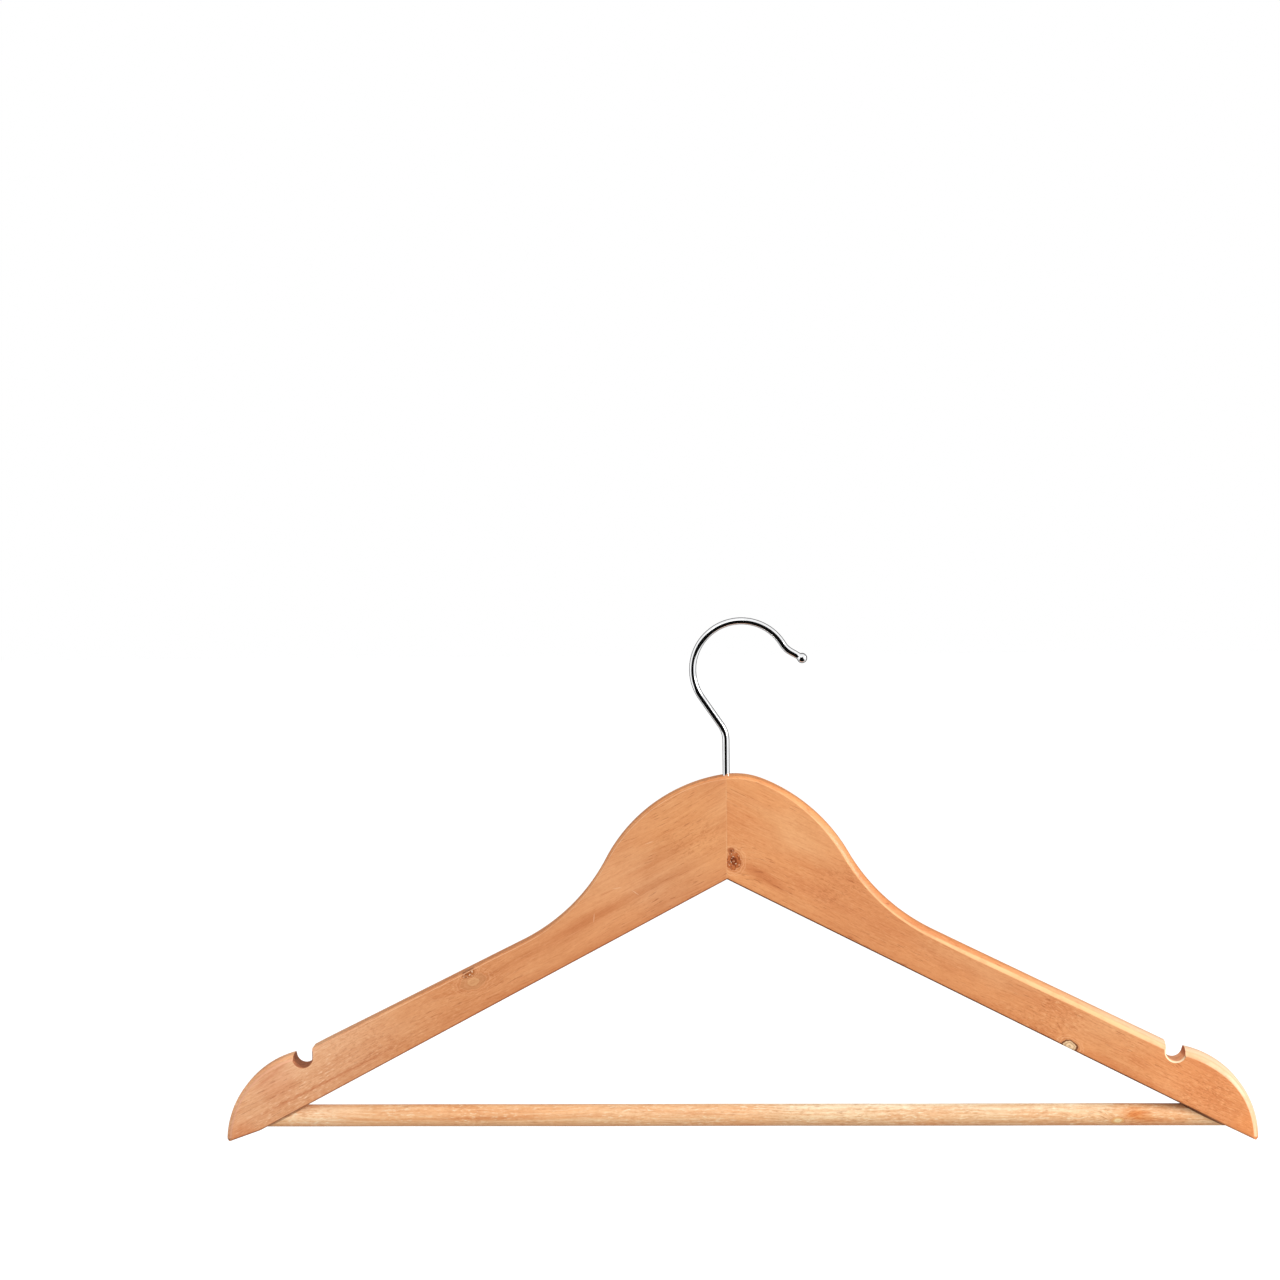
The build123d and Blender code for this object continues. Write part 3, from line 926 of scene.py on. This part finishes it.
def left_arm_wood():
    dark_knot, pale_knot = (-118.3, -149.0, 2.9, 1.9, 27), (-116.3, -152.8, 5.4, 3.2, 20)
    s = wood(
        "arm_wood_left", 27.5, 0.0, srgb(233, 162, 108), srgb(223, 149, 96), srgb(243, 182, 130),
        fibre_tint=(0.94, 0.86, 0.80), dash=(0.2, 0.9), knots=(dark_knot, pale_knot),
    )
    glow(s, -205, -200, 10, 75, (1.14, 1.42, 1.85))
    glow(s, -160, -175, 5, 45, (1.01, 1.05, 1.10))
    glow(s, -203, -196, 3, 14, (0.93, 0.83, 0.80))
    glow(s, -218, -220.5, 2, 10, (0.90, 0.73, 0.63))
    mottle(s, -166, -181, 20)
    glow(s, -25, -86, 5, 38, (1.08, 1.15, 1.13))
    glow(s, -32, -110, 5, 24, (0.93, 0.92, 0.95))
    mottle(s, -20, -91, 16)
    streak(s, -58, -122, 47, 3.2, 28, (0.87, 0.74, 0.64), 0.8)
    streak(s, -104, -147, 26, 1.8, 28, (0.87, 0.76, 0.66), 0.6)
    streak(s, -190, -201.0, 42, 0.8, 27, (0.82, 0.62, 0.50), 0.8)
    streak(s, -172, -192.2, 36, 0.6, 27.5, (0.82, 0.62, 0.50), 0.7)
    streak(s, -205, -194, 15, 1.0, 40, (0.86, 0.68, 0.60), 0.6)
    for x, z, turn in ((-46, -114.5, -35), (-64, -125.5, 85), (-54, -112.5, 12), (-40, -93, 20)):
        scratch(s, x, z, turn)
    arm_edges(s, LEFT, 0.80, 0.74, top_light_and_shade_tint=(1.25, 1.20, 1.12), under_shade_tint=(0.50, 0.36, 0.27))
    knot(s, s.knots[1], srgb(230, 178, 124), srgb(206, 142, 92),
         inside=0.6, strength=0.5, flecks=0.8, cracked=0.0)
    # The dark knot closes up behind the front face
    tapered = s.plus(s.knots[0], s.ramp(s.y, -5.5, 1.0, 0.0, 1.6))
    knot(s, tapered, srgb(156, 78, 22), srgb(192, 114, 60), inside=0.5, strength=0.9, flecks=0.6)
    # Painted highlight along the sanded creases
    paint_crease_highlight(s, srgb(255, 196, 148), srgb(255, 186, 148))
    return lacquered(s, 0.42)


def right_arm_wood():
    apex_knot, above_apex = (-3.9, -101.0, 3.0, 3.7, 0), (-5.0, -96.6, 1.4, 1.2, 0)
    edge_knot = (139.2, -181.6, 3.5, 2.5, -26)
    s = wood(
        "arm_wood_right", -26.4, 40.0, srgb(238, 164, 106), srgb(231, 154, 98), srgb(246, 186, 131),
        fibre_tint=(0.94, 0.88, 0.84), dash=(0.5, 1.0), knots=(apex_knot, edge_knot, above_apex),
    )
    glow(s, 5, -90, 5, 50, (1.03, 1.05, 1.04))
    glow(s, 85, -145, 30, 80, (0.95, 0.92, 0.91))
    glow(s, 200, -208, 15, 55, (1.06, 1.00, 0.95))
    glow(s, 217, -218, 2, 12, (1.09, 1.07, 1.0))
    mottle(s, 128, -171, 18)
    mottle(s, 40, -112, 16)
    mottle(s, 196, -203, 18)
    streak(s, 10, -108.5, 15, 3.4, -31, (0.80, 0.62, 0.51), 0.75)
    streak(s, 163, -193, 26, 3.0, -27, (0.88, 0.74, 0.64), 0.7)
    arm_edges(s, RIGHT, 0.80, 0.62, top_light_and_shade_tint=(0.98, 0.93, 0.85), under_shade_tint=(0.26, 0.16, 0.11))
    knot(s, s.knots[0], srgb(138, 58, 6), srgb(194, 106, 52), inside=0.5, strength=1.0, flecks=0.62)
    knot(s, s.knots[2], srgb(146, 70, 20), srgb(190, 108, 58), inside=0.5, strength=0.9, flecks=0.66)
    knot(s, s.knots[1], srgb(250, 214, 168), srgb(120, 66, 30),
         inside=0.84, strength=0.95, flecks=0.9, cracked=0.1)
    # Painted highlight along the sanded creases
    paint_crease_highlight(s, srgb(252, 200, 142), srgb(254, 210, 168))
    return lacquered(s, 0.42)


def bar_wood():
    s = wood(
        "bar_wood", 0.0, 90.0, srgb(255, 214, 166), srgb(250, 192, 138), srgb(255, 232, 192),
        fibre_tint=(0.86, 0.68, 0.55), dash=(1.0, 1.0), knots=((160.0, -214.3, 2.6, 1.4, 0),),
    )
    height = s.plus(s.z, -BAR_Z)
    # Painted light and shade: the bar's top painted paler, more so to the right, and its underside
    # painted darker
    s.tint(s.times(s.ramp(height, 0.5, 4.2), s.ramp(s.x, -130, 60, 0.2, 1.0)), (1.05, 1.17, 1.32))
    s.tint(s.ramp(height, -1.0, -4.2), (0.97, 0.84, 0.75))
    glow(s, 176, BAR_Z, 8, 22, (0.98, 0.82, 0.71))
    glow(s, -185, BAR_Z, 5, 25, (1.06, 1.08, 1.14))
    streak(s, 167.5, -211.8, 7.5, 3.4, 0, (0.90, 0.62, 0.36), 1.0)
    streak(s, 172, -213.5, 7, 1.2, 4, (0.86, 0.66, 0.46), 0.8)
    streak(s, 60, -210.0, 60, 0.6, 0, (0.86, 0.70, 0.58), 0.6)
    streak(s, -120, -213.0, 70, 0.7, 0.6, (0.86, 0.70, 0.58), 0.7)
    streak(s, 110, -214.6, 40, 0.8, -0.5, (0.88, 0.72, 0.58), 0.6)
    knot(s, s.knots[0], srgb(255, 228, 172), srgb(238, 176, 110),
         inside=0.75, strength=0.9, flecks=0.9, cracked=0.0)
    # Painted shadow on the bar where it goes into the arms, under their front walls
    for arm, strength in ((LEFT, 0.5), (RIGHT, 0.95)):
        line = s.times(s.ramp(above_lower_edge(s, arm), -1.0, -0.6), s.ramp(outward(s, arm), 150, 160))
        s.tint(s.times(line, strength), (0.25, 0.14, 0.08))
    return lacquered(s, 0.5)


def cut_wood():
    """Bare end grain inside the notches and holes, painted darker in the left arm as painted shade and
    paler in the right as painted light.
    """
    s = Shader("cut_wood")
    place = s.millimetres()
    x, y, _ = s.axes(place)
    fibres = s.noise(place, (0.25, 0.9, 0.9), 3.0, 0.6)
    stripes = s.ramp(fibres, 0.3, 0.7)
    # Painted shade in the left arm's end grain, painted light in the right arm's
    left = s.mix(stripes, srgb(190, 118, 76), srgb(160, 92, 56))
    right = s.mix(stripes, srgb(244, 186, 138), srgb(226, 156, 108))
    # Painted highlight on the right notch's front rim
    front_rim_highlight = s.ramp(y, -5.0, -5.7)
    right = s.mix(front_rim_highlight, right, srgb(255, 226, 186))
    s.colour = s.mix(s.ramp(x, -20, 20), left, right)
    # Painted shade on the right notch's wall toward the tip
    notch_x = JOINT_X + RIGHT.notch_reach
    s.tint(s.ramp(x, notch_x + 3.2, notch_x + 4.2), (0.52, 0.36, 0.28))
    return s.finish(Base_Color=s.colour, Roughness=0.7, Normal=s.bump(fibres, 0.4, 0.0001))


def metal(name, colour, dull, scratches, smear):
    """Metal of a roughness dull, more so where it is smeared, with fine scratches along Z."""
    s = Shader(name)
    place = s.millimetres()
    cloud = s.ramp(s.noise(place, (0.35, 0.35, 0.35), 3.0, 0.6), 0.3, 0.7)
    fine = s.noise(place, (3.0, 3.0, 0.5), 2.0, 0.6)
    darker = tuple(c * 0.9 for c in colour)
    tone = s.mix(cloud, colour + (1.0,), darker + (1.0,))
    shine = s.plus(dull, s.times(cloud, smear))
    normal = s.bump(fine, scratches, 0.00002)
    return s.finish(Base_Color=tone, Metallic=1.0, Roughness=shine, Normal=normal)


def paint(obj, material):
    """Gives the whole object one material."""
    obj.data.materials.clear()
    obj.data.materials.append(material)
    for polygon in obj.data.polygons:
        polygon.material_index = 0


# ---------------------------------------------------------------- studio, in metres
FLOOR_Z = -0.325
FLOOR_HALF = 4.0
CARD_Y = -1.0
LOW_CARD_Z = -0.32
STUDIO_CENTRE = (0, 0, -0.15)


def flat_object(name, corners):
    mesh = bpy.data.meshes.new(name)
    mesh.from_pydata(corners, [], [tuple(range(len(corners)))])
    return linked(name, mesh)


def make_floor():
    signs = ((-1, -1), (1, -1), (1, 1), (-1, 1))
    floor = flat_object("floor", [(x * FLOOR_HALF, y * FLOOR_HALF, FLOOR_Z) for x, y in signs])
    s = Shader("floor_white")
    clouds = s.noise(s.millimetres(), (0.002, 0.002, 0.002))
    tone = s.mix(clouds, (0.88, 0.88, 0.88, 1), (0.9, 0.9, 0.9, 1))
    white = s.finish(Base_Color=tone, Roughness=0.9, Emission_Color=(1, 1, 1, 1), Emission_Strength=0.35)
    paint(floor, white)
    floor.visible_diffuse = False
    floor.visible_glossy = False


def make_world():
    """White behind the object, a room that lights it, and one that its chrome mirrors."""
    world = bpy.data.worlds.new("studio")
    bpy.context.scene.world = world
    world.use_nodes = True
    w = Nodes(world.node_tree)
    x, y, z = w.axes(w.node("TexCoord", (), "Generated"))
    # Light: bright above, to the right and in front
    level = w.math("MULTIPLY_ADD", x, 0.30, 0.82)
    level = w.math("MULTIPLY_ADD", z, 0.22, level)
    level = w.math("MULTIPLY_ADD", y, -0.12, level)
    lit = w.node("Background", {"Color": w.grey(level), "Strength": 0.78})
    # Reflections: white round the sides, grey behind the object
    behind = w.ramp(y, 0.0, 0.65, 1.0, 0.1)
    mirrored = w.node("Background", {"Color": w.grey(behind), "Strength": 1.05})
    seen = w.node("Background", {"Color": (1, 1, 1, 1)})
    room = w.node("MixShader", {0: w.node("LightPath", (), "Is Glossy Ray"), 1: lit, 2: mirrored})
    room = w.node("MixShader", {0: w.node("LightPath", (), "Is Camera Ray"), 1: room, 2: seen})
    output = w.tree.nodes.new("ShaderNodeOutputWorld")
    w.put(output.inputs["Surface"], room)


def add_light(name, place, size, power):
    """A square light that faces the object."""
    data = bpy.data.lights.new(name, "AREA")
    data.shape = "SQUARE"
    data.size = size
    data.energy = power
    light = linked(name, data)
    light.location = place
    light.rotation_mode = "QUATERNION"
    light.rotation_quaternion = (Vector(STUDIO_CENTRE) - Vector(place)).to_track_quat("-Z", "Y")


def add_dark_card(name, corners):
    """A nearly black card that only shows in glossy surfaces."""
    card = flat_object(name, corners)
    s = Shader(name)
    paint(card, s.finish(Base_Color=(0.005, 0.005, 0.005, 1), Roughness=1.0, Specular_IOR_Level=0.0))
    card.visible_camera = False
    card.visible_diffuse = False
    card.visible_transmission = False
    card.visible_shadow = False


# ---------------------------------------------------------------- assembly
make_arms()
trouser_bar = make_bar()
hook = make_hook()

paint(trouser_bar, bar_wood())
chrome = metal("hook_chrome", (0.94, 0.945, 0.955), dull=0.03, scratches=0.03, smear=0.03)
zinc = metal("zinc_hardware", (0.62, 0.63, 0.65), dull=0.3, scratches=0.4, smear=0.15)
steel = metal("brad_steel", (0.52, 0.5, 0.48), dull=0.38, scratches=0.4, smear=0.15)
paint(hook, chrome)
for finish, nodes in ((zinc, ("hook_washer", "hook_nut")), (steel, ("bar_pin_left", "bar_pin_right"))):
    for node in nodes:
        paint(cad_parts[node], finish)

make_floor()
make_world()
add_light("key", (1.6, -0.65, 0.42), size=0.7, power=20)
add_light("fill", (-0.5, -1.9, 0.5), size=1.2, power=6)
front_corners = ((-1.5, -0.9), (0.6, -0.5), (0.6, 0.45), (-0.9, 0.45))
add_dark_card("dark_front", [(x, CARD_Y, z) for x, z in front_corners])
low_corners = ((-0.85, CARD_Y), (0.9, CARD_Y), (0.35, -0.03), (-0.5, -0.03))
add_dark_card("dark_low", [(x, y, LOW_CARD_Z) for x, y in low_corners])
